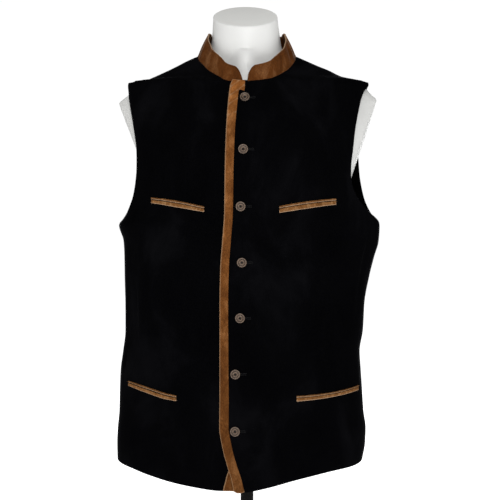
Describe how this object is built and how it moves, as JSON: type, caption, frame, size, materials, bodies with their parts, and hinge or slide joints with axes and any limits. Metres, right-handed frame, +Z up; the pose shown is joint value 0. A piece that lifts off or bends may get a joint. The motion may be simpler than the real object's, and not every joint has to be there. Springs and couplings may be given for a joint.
{
  "type": "outdoor vest worn on a limbless dress form with a stand",
  "caption": "Velvet stand-collar vest with contrast binding, jetted pockets and a buttoned front, worn on a headless, armless dress form on a round base.",
  "frame": {"origin": "middle of the stand base's underside, under the centre of the whole object's box", "axes": "+Z up, the vest's front faces -Y, the wearer's left is at +X"},
  "size_m": [0.4435, 0.29, 0.9989],
  "materials": {
    "black_velvet": "short-pile black velvet",
    "tan_velvet": "short-pile tan velvet",
    "buttons": "brown horn-like plastic, satin",
    "form_shell": "white, half gloss",
    "stand_paint": "black powder coat"
  },
  "bodies": {
    "root": {"front_left": "black_velvet", "front_right": "black_velvet", "back": "black_velvet", "binding_left": "tan_velvet", "binding_right": "tan_velvet", "collar": "tan_velvet", "chest_pocket_left_jet": "tan_velvet", "chest_pocket_left_welt": "tan_velvet", "chest_pocket_right_jet": "tan_velvet", "chest_pocket_right_welt": "tan_velvet", "hip_pocket_left_jet": "tan_velvet", "hip_pocket_left_welt": "tan_velvet", "hip_pocket_right_jet": "tan_velvet", "hip_pocket_right_welt": "tan_velvet", "button_1": "buttons", "button_2": "buttons", "button_3": "buttons", "button_4": "buttons", "button_5": "buttons", "button_6": "buttons", "button_7": "buttons", "form": "form_shell", "stand_base": "stand_paint", "stand_pole": "stand_paint"}
  },
  "joints": []
}
